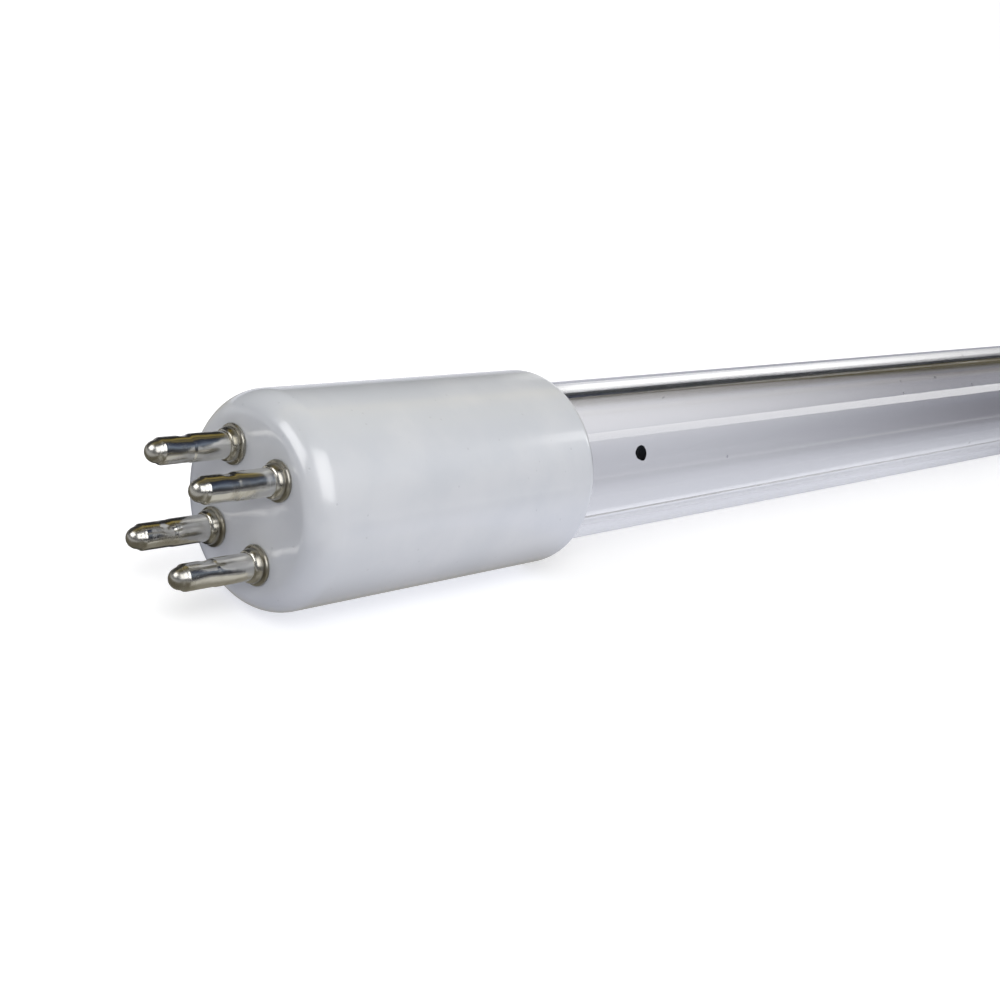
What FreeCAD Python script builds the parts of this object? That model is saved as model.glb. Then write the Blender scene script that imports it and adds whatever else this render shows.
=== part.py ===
import FreeCAD, Part
import math
import os
import Sketcher

# Germicidal lamp tube with a single four-pin ceramic base.
# The lamp lies along +X. The origin is the middle of the pin face, and the pins point along -X.

DRIVING_SIZES = {
    # Overall and quartz tube
    "lamp_length": 287.0,
    "tube_diameter": 15.9,
    "tube_wall": 1.0,
    # Ceramic base and ceramic end cap
    "ceramic_wall": 0.875,
    "base_length": 33.8,
    "cap_length": 30.0,
    "edge_drop": 1.6,
    "face_thickness": 4.2,
    "cap_end_thickness": 3.0,
    "edge_rounding": 3.25,
    "rim_rounding": 1.2,
    # Cement between the ceramics and the tube
    "cement_gap": 0.6,
    "cement_depth": 8.0,
    # Contact pins
    "pin_spacing_across": 6.35,
    "pin_spacing_upward": 7.92,
    "pin_length": 8.4,
    "pin_diameter": 2.36,
    "pin_cone_place": 7.3,
    "pin_cone_run": 0.38,
    "pin_nose_diameter": 1.6,
    "pin_end_diameter": 0.8,
    "flange_diameter": 3.5,
    "flange_thickness": 0.35,
    "collar_diameter": 3.0,
    "collar_length": 0.75,
    "shank_diameter": 2.0,
    "shank_clearance": 0.05,
    "rivet_diameter": 3.1,
    "rivet_thickness": 0.5,
    "pin_bore_diameter": 0.9,
    "pin_bore_depth": 8.7,
    # Pinch seals at the two ends of the quartz tube
    "base_press_place": 10.0,
    "cap_press_place": 7.5,
    "press_length": 8.0,
    "press_thickness": 3.0,
    "shoulder_length": 7.0,
    "jaw_margin": 0.5,
    # Leads, foils and cathodes
    "lead_spacing": 7.0,
    "outer_lead_diameter": 0.8,
    "inner_lead_diameter": 0.6,
    "end_lead_reach": 3.4,
    "lead_bend_place": 1.1,
    "pin_bend_place": 1.9,
    "lead_bend_radius": 1.0,
    "lead_in_pin": 7.5,
    "foil_length": 5.0,
    "foil_width": 2.2,
    "foil_thickness": 0.05,
    "foil_setback": 2.0,
    "foil_overlap": 1.0,
    "coil_place": 11.0,
    "coil_diameter": 1.1,
    "coil_wire_diameter": 0.24,
    "coil_turns": 5,
    # Return wires from the far cathode
    "wire_diameter": 0.4,
    "wire_clearance": 0.1,
    "wire_one_angle": 31.7,
    "wire_two_angle": -100.3,
    "wire_bend_place": 1.2,
    "wire_bend_radius": 0.8,
    "weld_clearance": 0.02,
    # Mercury amalgam pellet on the inner wall
    "pellet_place": 43.1,
    "pellet_angle": 148.5,
    "pellet_diameter": 1.5,
    "pellet_top_diameter": 0.8,
    "pellet_height": 1.0,
}

# Flat steps round a curve, and flat sides round a wire
EDGE_STEPS = 4
RIM_STEPS = 2
CROWN_STEPS = 2
BEND_STEPS = 2
COIL_STEPS = 7
WIRE_SIDES = 8
COIL_SIDES = 5

# How a swept wire turns a corner, and how far its volume may be from section times length
SQUARE_CORNERS = 1
VOLUME_CHECK = 0.05

doc = FreeCAD.newDocument("GermicidalLamp")
sheet = doc.addObject("Spreadsheet::Sheet", "Sizes")
nodes = []


class Size:
    """A number from the sheet, or worked out from such numbers, with the expression for it."""

    def __init__(self, value, text):
        self.value = value
        self.text = text

    def __add__(self, other):
        other = as_size(other)
        return Size(self.value + other.value, f"({self.text} + {other.text})")

    def __sub__(self, other):
        other = as_size(other)
        return Size(self.value - other.value, f"({self.text} - {other.text})")

    def __mul__(self, other):
        other = as_size(other)
        return Size(self.value * other.value, f"({self.text} * {other.text})")

    def __truediv__(self, other):
        other = as_size(other)
        return Size(self.value / other.value, f"({self.text} / {other.text})")

    def __rmul__(self, other):
        return as_size(other) * self

    def __rsub__(self, other):
        return as_size(other) - self

    def __neg__(self):
        return Size(-self.value, f"(0 - {self.text})")

    def root(self):
        return Size(math.sqrt(self.value), f"sqrt({self.text})")

    def cosine(self):
        return Size(math.cos(math.radians(self.value)), f"cos({self.text} * 1 deg)")

    def sine(self):
        return Size(math.sin(math.radians(self.value)), f"sin({self.text} * 1 deg)")

    def arc_sine(self):
        return Size(math.degrees(math.asin(self.value)), f"(asin({self.text}) / 1 deg)")


def as_size(number):
    return number if isinstance(number, Size) else Size(float(number), str(number))


def fill_sheet():
    """Write each driving size into the sheet and return them all by name."""
    named = {}
    for row, (name, number) in enumerate(DRIVING_SIZES.items(), start=1):
        sheet.set(f"A{row}", name.replace("_", " "))
        sheet.set(f"B{row}", str(number))
        sheet.setAlias(f"B{row}", name)
        named[name] = Size(float(number), f"Sizes.{name}")
    doc.recompute()
    return named


size = fill_sheet()
ZERO = Size(0.0, "0")

lamp_length = size["lamp_length"]
tube_radius = size["tube_diameter"] / 2
tube_wall = size["tube_wall"]
inner_radius = tube_radius - tube_wall
bore_radius = tube_radius + size["cement_gap"]
base_radius = bore_radius + size["ceramic_wall"]
press_half = size["press_thickness"] / 2
base_press = size["base_press_place"]
cap_press = lamp_length - size["cap_press_place"]
foil_half = size["foil_thickness"] / 2
outer_lead_radius = size["outer_lead_diameter"] / 2
inner_lead_radius = size["inner_lead_diameter"] / 2
wire_radius = size["wire_diameter"] / 2


def arc_run(radius, drop):
    """How far along a wall an arc starts, to fall by the drop where it ends."""
    return (2 * radius * drop - drop * drop).root()


def bind(thing, settings):
    """Bind each named property of an object to its size."""
    for name, value in settings.items():
        thing.setExpression(name, as_size(value).text)


def node(label, thing):
    """Name an object as one separate piece of the lamp."""
    thing.Label = label
    nodes.append(thing)
    return thing


# Sketches

def plane_of(body, role):
    return next(item for item in body.Origin.OriginFeatures if item.Role == role)


def sketch_on(body, name, role):
    sketch = body.newObject("Sketcher::SketchObject", name)
    sketch.AttachmentSupport = [(plane_of(body, role), "")]
    sketch.MapMode = "FlatFace"
    return sketch


def pin_point(sketch, geometry, point, place):
    """Hold one point of a sketch at a place measured from the sketch's origin."""
    for value, kind, axis in ((place[0], "DistanceX", -2), (place[1], "DistanceY", -1)):
        if value is ZERO:
            sketch.addConstraint(Sketcher.Constraint("PointOnObject", geometry, point, axis))
            continue
        ends = (-1, 1, geometry, point) if value.value >= 0 else (geometry, point, -1, 1)
        shown = value if value.value >= 0 else -value
        index = sketch.addConstraint(Sketcher.Constraint(kind, *ends, shown.value))
        sketch.setExpression(f"Constraints[{index}]", shown.text)


def add_line(sketch, start, end):
    corners = [FreeCAD.Vector(place[0].value, place[1].value, 0) for place in (start, end)]
    return sketch.addGeometry(Part.LineSegment(*corners), False), 1, 2


def add_arc(sketch, start, end, radius, left):
    """An arc of under half a turn that bends to the left or to the right on its way."""
    first = FreeCAD.Vector(start[0].value, start[1].value, 0)
    last = FreeCAD.Vector(end[0].value, end[1].value, 0)
    chord = last - first
    rise = math.sqrt(max(radius.value ** 2 - chord.Length ** 2 / 4, 0.0))
    side = FreeCAD.Vector(-chord.y, chord.x, 0).normalize() * (rise if left else -rise)
    centre = (first + last) * 0.5 + side
    begin, finish = (first, last) if left else (last, first)
    angles = [math.atan2(corner.y - centre.y, corner.x - centre.x) for corner in (begin, finish)]
    circle = Part.Circle(centre, FreeCAD.Vector(0, 0, 1), radius.value)
    geometry = sketch.addGeometry(Part.ArcOfCircle(circle, angles[0], angles[1]), False)
    index = sketch.addConstraint(Sketcher.Constraint("Radius", geometry, radius.value))
    sketch.setExpression(f"Constraints[{index}]", radius.text)
    return (geometry, 1, 2) if left else (geometry, 2, 1)


def outline(sketch, steps):
    """A closed outline. Each step is the next corner, with radius and side where it is an arc."""
    edges = []
    for number, step in enumerate(steps):
        begin = step[0]
        following = steps[(number + 1) % len(steps)]
        end = following[0]
        if len(following) == 3:
            edges.append(add_arc(sketch, begin, end, following[1], following[2] == "left"))
        else:
            edges.append(add_line(sketch, begin, end))
    for number, step in enumerate(steps):
        geometry, first, last = edges[number]
        before = edges[number - 1]
        sketch.addConstraint(Sketcher.Constraint("Coincident", before[0], before[2], geometry, first))
        pin_point(sketch, geometry, first, step[0])


def add_circle(sketch, place, radius):
    centre = FreeCAD.Vector(place[0].value, place[1].value, 0)
    geometry = sketch.addGeometry(Part.Circle(centre, FreeCAD.Vector(0, 0, 1), radius.value), False)
    pin_point(sketch, geometry, 3, place)
    index = sketch.addConstraint(Sketcher.Constraint("Radius", geometry, radius.value))
    sketch.setExpression(f"Constraints[{index}]", radius.text)


def turned_body(name, steps):
    """A body turned about its own X axis from a half profile."""
    body = doc.addObject("PartDesign::Body", name)
    sketch = sketch_on(body, f"{name}_profile", "XY_Plane")
    outline(sketch, steps)
    turning = body.newObject("PartDesign::Revolution", f"{name}_turning")
    turning.Profile = (sketch, [""])
    turning.ReferenceAxis = (sketch, ["H_Axis"])
    turning.Angle = 360
    doc.recompute()
    return body


def cut_through(body, name, role, draw):
    """Cut drawn shapes right through a body, and check that material was taken away."""
    before = body.Shape.Volume
    sketch = sketch_on(body, f"{name}_sketch", role)
    draw(sketch)
    pocket = body.newObject("PartDesign::Pocket", name)
    pocket.Profile = (sketch, [""])
    pocket.Type = "ThroughAll"
    pocket.Midplane = True
    doc.recompute()
    if body.Shape.Volume >= before:
        raise ValueError(f"{name} cuts nothing")


# Plain solids

def rod(name, radius, start, length):
    """A round rod on the lamp's axis that starts at the given place."""
    thing = doc.addObject("Part::Cylinder", name)
    thing.Placement.Rotation = FreeCAD.Rotation(FreeCAD.Vector(0, 1, 0), 90)
    bind(thing, {
        "Radius": radius,
        "Height": length,
        "Placement.Base.x": start,
    })
    return thing


def without(name, base, tools):
    """The base with each tool cut out of it in turn."""
    for number, tool in enumerate(tools, start=1):
        cut = doc.addObject("Part::Cut", f"{name}_cut_{number}")
        cut.Base = base
        cut.Tool = tool
        base = cut
    return base


def wire_along(name, radius, sides, route):
    """A wire with a few flat sides, swept along a route of short straight runs."""
    heading = (route[1] - route[0]).normalize()
    upward = heading.cross(FreeCAD.Vector(0, 1, 0)).normalize()
    across = heading.cross(upward)
    ring = []
    for number in range(sides + 1):
        angle = 2 * math.pi * number / sides
        ring.append(route[0] + upward * radius * math.cos(angle) + across * radius * math.sin(angle))
    path = Part.makePolygon(route)
    solid = path.makePipeShell([Part.makePolygon(ring)], True, False, SQUARE_CORNERS)
    section = sides / 2 * radius ** 2 * math.sin(2 * math.pi / sides)
    expected = path.Length * section
    if abs(solid.Volume - expected) > VOLUME_CHECK * expected:
        raise ValueError(f"{name} has the wrong volume")
    thing = doc.addObject("Part::Feature", name)
    thing.Shape = solid
    return thing


def routed_wire(name, radius, points, bend):
    """A wire along straight runs, with each bend between them turned in a few even steps."""
    corners = [FreeCAD.Vector(*(value.value for value in point)) for point in points]
    route = [corners[0]]
    for before, corner, after in zip(corners, corners[1:], corners[2:]):
        inward = (before - corner).normalize()
        onward = (after - corner).normalize()
        half_angle = inward.getAngle(onward) / 2
        setback = bend.value / math.tan(half_angle)
        centre = corner + (inward + onward).normalize() * (bend.value / math.sin(half_angle))
        first = corner + inward * setback - centre
        last = corner + onward * setback - centre
        turn = first.getAngle(last)
        for number in range(BEND_STEPS + 1):
            part_way = turn * number / BEND_STEPS
            arm = first * math.sin(turn - part_way) + last * math.sin(part_way)
            route.append(centre + arm / math.sin(turn))
    route.append(corners[-1])
    return wire_along(name, radius.value, WIRE_SIDES, route)


# Ceramic base and end cap

def rounded(centre, radius, side, level, steps):
    """Corners in even steps round an arc, from a level up to its crown, on one side of its centre."""
    low = ((level - centre[1]) / radius).arc_sine()
    corners = []
    for number in range(steps + 1):
        angle = low + (90 - low) * (number / steps)
        corners.append(((centre[0] + side * radius * angle.cosine(), centre[1] + radius * angle.sine()),))
    return corners


def ceramic_shell(name, length, end_thickness):
    """A cup with a rounded closed end at X 0, a plain bore and a rounded rim."""
    face_radius = base_radius - size["edge_drop"]
    edge = size["edge_rounding"]
    edge_centre = (arc_run(edge, base_radius - face_radius), base_radius - edge)
    rim = size["rim_rounding"]
    rim_centre = (length - arc_run(rim, base_radius - bore_radius), base_radius - rim)
    front = rounded(edge_centre, edge, -1, face_radius, EDGE_STEPS)
    mouth = rounded(rim_centre, rim, 1, bore_radius, RIM_STEPS)
    return turned_body(name, [((ZERO, ZERO),)] + front + mouth[::-1] + [
        ((end_thickness, bore_radius),),
        ((end_thickness, ZERO),),
    ])


def pin_places():
    """The four pins, from the upper far one to the lower near one, seen from the pin side."""
    across = size["pin_spacing_across"] / 2
    upward = size["pin_spacing_upward"] / 2
    return [(across, upward), (-across, upward), (across, -upward), (-across, -upward)]


def build_base():
    base = ceramic_shell("ceramic_base", size["base_length"], size["face_thickness"])

    def holes(sketch):
        for place in pin_places():
            add_circle(sketch, place, size["shank_diameter"] / 2 + size["shank_clearance"])

    cut_through(base, "pin_holes", "YZ_Plane", holes)
    node("ceramic_base", base)


def build_end_cap():
    cap = ceramic_shell("ceramic_end_cap", size["cap_length"], size["cap_end_thickness"])
    cap.Placement.Rotation = FreeCAD.Rotation(FreeCAD.Vector(0, 0, 1), 180)
    bind(cap, {"Placement.Base.x": lamp_length})
    node("ceramic_end_cap", cap)


# Contact pins

def pin_back():
    """How far the back of each pin lies behind the face."""
    return size["rivet_thickness"] + size["face_thickness"]


def build_pin(number, place):
    """A hollow turned pin, riveted in the face, with a flange, a rounded collar and a tapered nose."""
    back = pin_back()
    shaft = size["pin_diameter"] / 2
    nose = size["pin_nose_diameter"] / 2
    bore = size["pin_bore_diameter"] / 2
    shank = size["shank_diameter"] / 2
    rivet = size["rivet_diameter"] / 2
    flange = size["flange_diameter"] / 2
    collar = size["collar_diameter"] / 2
    flange_end = back + size["flange_thickness"]
    cone = back + size["pin_cone_place"]
    drop = collar - shaft
    rounding = (size["collar_length"] * size["collar_length"] + drop * drop) / (2 * drop)
    crown = rounded((flange_end, collar - rounding), rounding, 1, shaft, CROWN_STEPS)
    name = f"contact_pin_{number}"
    pin = turned_body(name, [
        ((ZERO, bore),),
        ((ZERO, rivet),),
        ((size["rivet_thickness"], rivet),),
        ((size["rivet_thickness"], shank),),
        ((back, shank),),
        ((back, flange),),
        ((flange_end, flange),),
        *crown[::-1],
        ((cone, shaft),),
        ((cone + size["pin_cone_run"], nose),),
        ((back + size["pin_length"], size["pin_end_diameter"] / 2),),
        ((back + size["pin_length"], ZERO),),
        ((size["pin_bore_depth"], ZERO),),
        ((size["pin_bore_depth"], bore),),
    ])
    pin.Placement.Rotation = FreeCAD.Rotation(FreeCAD.Vector(0, 0, 1), 180)
    bind(pin, {
        "Placement.Base.x": back,
        "Placement.Base.y": place[0],
        "Placement.Base.z": place[1],
    })
    node(name, pin)


# Quartz tube

def pressed_rod(name, steps, radius):
    """A round rod, kept only inside the outline that the jaws leave."""
    sketch = doc.addObject("Sketcher::SketchObject", f"{name}_outline")
    outline(sketch, steps)
    block = doc.addObject("Part::Extrusion", f"{name}_jaws")
    block.Base = sketch
    block.DirMode = "Custom"
    block.Dir = FreeCAD.Vector(0, 0, 1)
    block.Solid = True
    block.Symmetric = True
    bind(block, {"LengthFwd": 3 * radius})
    thing = doc.addObject("Part::Common", name)
    thing.Base = rod(f"{name}_rod", radius, base_press, cap_press - base_press)
    thing.Tool = block
    return thing


def below_axis(steps):
    """The same half outline on the other side of the axis, walked backwards."""
    mirrored = []
    arc = ()
    for step in reversed(steps):
        mirrored.append(((step[0][0], -step[0][1]), *arc))
        arc = step[1:]
    return mirrored


def shouldered(half, top, middle, first_bend, second_bend):
    """A half outline that climbs from one seal in a double curve and falls to the other."""
    start = base_press + size["press_length"]
    end = cap_press - size["press_length"]
    run = size["shoulder_length"]
    return [
        ((start, half),),
        ((start + middle[0], middle[1]), first_bend, "left"),
        ((start + run, top), second_bend, "right"),
        ((end - run, top),),
        ((end - middle[0], middle[1]), second_bend, "right"),
        ((end, half), first_bend, "left"),
    ]


def quartz_blank():
    """The tube with both ends pressed flat and one sealed hollow between them."""
    run = size["shoulder_length"]
    top = tube_radius + size["jaw_margin"]
    rise = top - press_half
    reach = run * run + rise * rise
    bend = reach / (4 * rise)
    slope_sine = 2 * run * rise / reach
    slope_cosine = (run * run - rise * rise) / reach
    middle = (run / 2, press_half + rise / 2)
    inner_middle = (middle[0] + tube_wall * slope_sine, middle[1] - tube_wall * slope_cosine)
    upper = shouldered(press_half, top, middle, bend, bend)
    outside = upper + [((cap_press, press_half),), ((cap_press, -press_half),)]
    outside += below_axis(upper) + [((base_press, -press_half),), ((base_press, press_half),)]
    hollow = shouldered(press_half - tube_wall, top - tube_wall, inner_middle,
                        bend + tube_wall, bend - tube_wall)
    glass = pressed_rod("tube_outside", outside, tube_radius)
    cavity = pressed_rod("tube_hollow", hollow + below_axis(hollow), inner_radius)
    return without("tube_blank", glass, [cavity])


# Seals, leads and cathodes

def inward(anchor, way, distance):
    """A place the given distance from a press end towards the middle of the lamp."""
    return anchor + distance if way > 0 else anchor - distance


def straight_wire(name, radius, first, second, upward):
    """A straight wire along X between two places."""
    low, high = (first, second) if first.value < second.value else (second, first)
    wire = doc.addObject("Part::Prism", name)
    wire.Polygon = WIRE_SIDES
    wire.Placement.Rotation = FreeCAD.Rotation(FreeCAD.Vector(0, 1, 0), 90)
    bind(wire, {
        "Circumradius": radius,
        "Height": high - low,
        "Placement.Base.x": low,
        "Placement.Base.z": upward,
    })
    return wire


def build_foil(name, anchor, way, upward):
    foil = doc.addObject("Part::Box", name)
    near = inward(anchor, way, size["foil_setback"])
    far = inward(anchor, way, size["foil_setback"] + size["foil_length"])
    bind(foil, {
        "Length": size["foil_length"],
        "Width": size["foil_thickness"],
        "Height": size["foil_width"],
        "Placement.Base.x": near if way > 0 else far,
        "Placement.Base.y": -foil_half,
        "Placement.Base.z": upward - size["foil_width"] / 2,
    })
    return node(name, foil)


def build_inner_lead(name, anchor, way, upward, foil):
    """A straight support lead, slit over the end of its foil."""
    start = size["foil_setback"] + size["foil_length"] - size["foil_overlap"]
    tip = size["press_length"] + size["coil_place"] + size["coil_diameter"] / 2 + inner_lead_radius
    blank = straight_wire(f"{name}_rod", inner_lead_radius, inward(anchor, way, start),
                        inward(anchor, way, tip), upward)
    node(name, without(name, blank, [foil]))
    return blank


def build_coil(name, anchor, way):
    """A wound filament that spans the gap between the two support leads."""
    axis = inward(anchor, way, size["press_length"] + size["coil_place"]).value
    radius = size["coil_diameter"].value / 2
    gaps = size["inner_lead_diameter"] + size["coil_wire_diameter"] + 2 * size["weld_clearance"]
    height = (size["lead_spacing"] - gaps).value
    steps = round(size["coil_turns"].value) * COIL_STEPS
    route = []
    for number in range(steps + 1):
        angle = 2 * math.pi * number / COIL_STEPS
        rise = height * (number / steps - 0.5)
        route.append(FreeCAD.Vector(axis + way * radius * math.cos(angle), radius * math.sin(angle), rise))
    return node(name, wire_along(name, size["coil_wire_diameter"].value / 2, COIL_SIDES, route))


def build_seal_end(end, anchor, way):
    """The foils, inner leads and cathode of one end. Returns what the glass closes round."""
    half_spacing = size["lead_spacing"] / 2
    sealed = []
    foils = []
    for number, upward in ((1, half_spacing), (2, -half_spacing)):
        foil = build_foil(f"{end}_foil_{number}", anchor, way, upward)
        foils.append(foil)
        sealed += [foil, build_inner_lead(f"{end}_inner_lead_{number}", anchor, way, upward, foil)]
    build_coil(f"{end}_cathode", anchor, way)
    return sealed, foils


def outer_lead_start(anchor, way):
    return inward(anchor, way, size["foil_setback"] + size["foil_overlap"])


def build_base_outer_leads(foils):
    """Two leads that leave the seal and bend into the bores of the two near pins."""
    blanks = []
    places = pin_places()
    half_spacing = size["lead_spacing"] / 2
    for number, (upward, pin) in enumerate(((half_spacing, places[1]), (-half_spacing, places[3]))):
        name = f"base_outer_lead_{number + 1}"
        blank = routed_wire(f"{name}_wire", outer_lead_radius, [
            (outer_lead_start(base_press, 1), ZERO, upward),
            (base_press - size["lead_bend_place"], ZERO, upward),
            (pin_back() + size["pin_bend_place"], pin[0], pin[1]),
            (pin_back() - size["lead_in_pin"], pin[0], pin[1]),
        ], size["lead_bend_radius"])
        node(name, without(name, blank, [foils[number]]))
        blanks.append(blank)
    return blanks


def build_end_outer_leads(foils):
    """Two short straight leads, to which the return wires are welded."""
    blanks = []
    half_spacing = size["lead_spacing"] / 2
    for number, upward in enumerate((half_spacing, -half_spacing)):
        name = f"end_outer_lead_{number + 1}"
        blank = straight_wire(f"{name}_rod", outer_lead_radius, outer_lead_start(cap_press, -1),
                            cap_press + size["end_lead_reach"], upward)
        node(name, without(name, blank, [foils[number]]))
        blanks.append(blank)
    return blanks


def build_return_wires():
    """Two wires along the outside of the tube, from the far leads to the two far pins."""
    wires = []
    places = pin_places()
    out = tube_radius + size["wire_clearance"] + wire_radius
    touch = outer_lead_radius + wire_radius + size["weld_clearance"]
    half_spacing = size["lead_spacing"] / 2
    routes = (
        (size["wire_one_angle"], places[0], half_spacing),
        (size["wire_two_angle"], places[2], -half_spacing),
    )
    for number, (angle, pin, upward) in enumerate(routes, start=1):
        across_tube = out * angle.cosine()
        along_tube = out * angle.sine()
        lift = along_tube - upward
        apart = (across_tube * across_tube + lift * lift).root()
        weld = (touch * across_tube / apart, upward + touch * lift / apart)
        bend_place = size["wire_bend_place"]
        wires.append(node(f"return_wire_{number}", routed_wire(f"return_wire_{number}", wire_radius, [
            (pin_back() - size["lead_in_pin"], pin[0], pin[1]),
            (pin_back() + size["pin_bend_place"], pin[0], pin[1]),
            (base_press - bend_place, across_tube, along_tube),
            (cap_press + bend_place, across_tube, along_tube),
            (cap_press + 2 * bend_place, weld[0], weld[1]),
            (cap_press + size["end_lead_reach"], weld[0], weld[1]),
        ], size["wire_bend_radius"])))
    return wires


# Cement and amalgam

def build_cement(name, length, turned_round, wires):
    """The ring of cement between a ceramic and the tube, with the wires let through it."""
    ring = turned_body(f"{name}_ring", [
        ((length - size["cement_depth"], tube_radius),),
        ((length - size["cement_depth"], bore_radius),),
        ((length, bore_radius),),
        ((length, tube_radius),),
    ])
    if turned_round:
        ring.Placement.Rotation = FreeCAD.Rotation(FreeCAD.Vector(0, 0, 1), 180)
        bind(ring, {"Placement.Base.x": lamp_length})
    node(name, without(name, ring, wires))


def build_pellet():
    """A small bead of mercury amalgam, fused to the inner wall of the tube."""
    angle = size["pellet_angle"]
    bead = doc.addObject("Part::Cone", "pellet_bead")
    bead.Placement.Rotation = FreeCAD.Rotation(FreeCAD.Vector(1, 0, 0), 90 + angle.value)
    bind(bead, {
        "Radius1": size["pellet_diameter"] / 2,
        "Radius2": size["pellet_top_diameter"] / 2,
        "Height": tube_wall + size["pellet_height"],
        "Placement.Base.x": size["pellet_place"],
        "Placement.Base.y": tube_radius * angle.cosine(),
        "Placement.Base.z": tube_radius * angle.sine(),
    })
    bead.setExpression("Placement.Rotation.Angle", f"({angle.text} + 90) * 1 deg")
    pellet = doc.addObject("Part::Common", "pellet")
    pellet.Base = bead
    pellet.Tool = rod("pellet_seat", inner_radius, size["pellet_place"] - size["tube_diameter"] / 2,
                      size["tube_diameter"])
    node("amalgam_pellet", pellet)


def check_document():
    for thing in doc.Objects:
        if "Invalid" in thing.State or "Error" in thing.State:
            raise ValueError(f"{thing.Name} failed: {thing.State}")
    for thing in nodes:
        if thing.Shape.isNull() or not thing.Shape.isValid() or thing.Shape.Volume <= 0:
            raise ValueError(f"{thing.Label} has no sound shape")


def write_parts():
    os.makedirs("parts", exist_ok=True)
    for thing in nodes:
        thing.Shape.exportStep(f"parts/{thing.Label}.step")
        print(f"{thing.Label}: {len(thing.Shape.Solids)} solid, {thing.Shape.Volume:.3f} mm3")


build_base()
build_end_cap()
for pin_number, pin_place in enumerate(pin_places(), start=1):
    build_pin(pin_number, pin_place)
base_sealed, base_foils = build_seal_end("base", base_press, 1)
end_sealed, end_foils = build_seal_end("end", cap_press, -1)
base_sealed += build_base_outer_leads(base_foils)
end_sealed += build_end_outer_leads(end_foils)
node("quartz_tube", without("quartz_tube", quartz_blank(), base_sealed + end_sealed))
return_wires = build_return_wires()
build_cement("base_cement", size["base_length"], False, return_wires)
build_cement("end_cement", size["cap_length"], True, return_wires)
build_pellet()
doc.recompute()
check_document()
write_parts()
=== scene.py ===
import math

import bmesh
import bpy
from mathutils import Matrix, Vector, noise


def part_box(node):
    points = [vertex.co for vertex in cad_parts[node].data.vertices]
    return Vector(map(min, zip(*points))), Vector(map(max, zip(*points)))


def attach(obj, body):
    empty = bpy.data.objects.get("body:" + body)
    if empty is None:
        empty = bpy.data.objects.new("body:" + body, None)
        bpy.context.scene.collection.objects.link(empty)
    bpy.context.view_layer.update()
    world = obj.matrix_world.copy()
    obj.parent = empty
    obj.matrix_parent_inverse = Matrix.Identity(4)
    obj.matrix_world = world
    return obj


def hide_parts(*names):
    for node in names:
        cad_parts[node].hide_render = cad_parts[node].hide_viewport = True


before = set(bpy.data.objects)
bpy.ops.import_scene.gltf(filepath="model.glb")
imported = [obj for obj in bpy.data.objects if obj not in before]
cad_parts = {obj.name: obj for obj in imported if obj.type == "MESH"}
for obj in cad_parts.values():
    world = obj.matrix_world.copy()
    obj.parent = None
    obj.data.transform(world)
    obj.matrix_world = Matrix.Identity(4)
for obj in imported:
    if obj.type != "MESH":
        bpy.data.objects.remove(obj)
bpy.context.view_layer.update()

MM = 0.001

# Sizes that the frame gives, in metres
BASE_LOW, BASE_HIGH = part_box("ceramic_base")
CAP_LOW, CAP_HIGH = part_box("ceramic_end_cap")
TUBE_LOW, TUBE_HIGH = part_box("quartz_tube")
CERAMIC_RADIUS = BASE_HIGH.z
BASE_LENGTH = BASE_HIGH.x
CAP_LENGTH = CAP_HIGH.x - CAP_LOW.x
LAMP_LENGTH = CAP_HIGH.x
TUBE_RADIUS = TUBE_HIGH.z
PIN_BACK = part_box("contact_pin_1")[1].x
PIN_REACH = -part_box("contact_pin_1")[0].x

# Sizes of the ceramics and the tube
FACE_THICKNESS = 4.2 * MM
CAP_END_THICKNESS = 3.0 * MM
FACE_RADIUS = 7.825 * MM
EDGE_ROUNDING = 3.25 * MM
FACE_SOFTENING = 1.6 * MM
RIM_ROUNDING = 1.2 * MM
MOUTH_BREAK = 0.12 * MM
FLOOR_FILLET = 0.48 * MM
CEMENT_GAP = 0.6 * MM
CEMENT_DEPTH = 8.0 * MM
CEMENT_RECESS = 0.25 * MM
CEMENT_HOLLOW = 0.22 * MM
CEMENT_GRIT = 0.05 * MM
GRIT_PER_METRE = 900
CEMENT_SKIN = 0.01 * MM
TUBE_WALL = 1.0 * MM
INNER_RADIUS = TUBE_RADIUS - TUBE_WALL
BORE_RADIUS = TUBE_RADIUS + CEMENT_GAP
PRESS_HALF = 1.5 * MM
PRESS_LENGTH = 8.0 * MM
SHOULDER_LENGTH = 7.0 * MM

# Sizes of the cathodes, wires and amalgam
LEAD_SPACING = 7.0 * MM
COIL_PLACE = 11.0 * MM
COIL_RADIUS = 0.55 * MM
COIL_TURNS = 5
COIL_THICKNESS = 0.24 * MM
COIL_CLEARANCE = 0.04 * MM
FINE_WIRE = 0.045 * MM
FINE_TURNS = 150
LEAD_RADIUS = 0.3 * MM
WIRE_RADIUS = 0.2 * MM
WIRE_BEND = 0.8 * MM
WIRE_GAP = 0.1 * MM
WIRE_STEP = 1.2 * MM
WIRE_ANGLES = (31.7, -100.3)
WIRE_IN_PIN = 7.5 * MM
WIRE_BEHIND_PIN = 1.9 * MM
WIRE_PAST_TUBE = 3.4 * MM
OUTER_LEAD_RADIUS = 0.4 * MM
WELD_GAP = 0.02 * MM
PELLET_PLACE = 43.1 * MM
PELLET_ANGLE = math.radians(148.5)
PELLET_RADIUS = 0.56 * MM
PELLET_SPREAD = 0.72 * MM
PELLET_HEIGHT = 0.8 * MM
PELLET_GAP = 0.005 * MM
PELLET_LUMPS = 0.07
PELLET_WRINKLES = 0.03
PELLET_FLAT = -0.02

# How many flats stand for a full turn
CERAMIC_SEGMENTS = 160
HOLE_SEGMENTS = 40
PIN_SEGMENTS = 96
TUBE_SEGMENTS = 192


# Shader expressions

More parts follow.
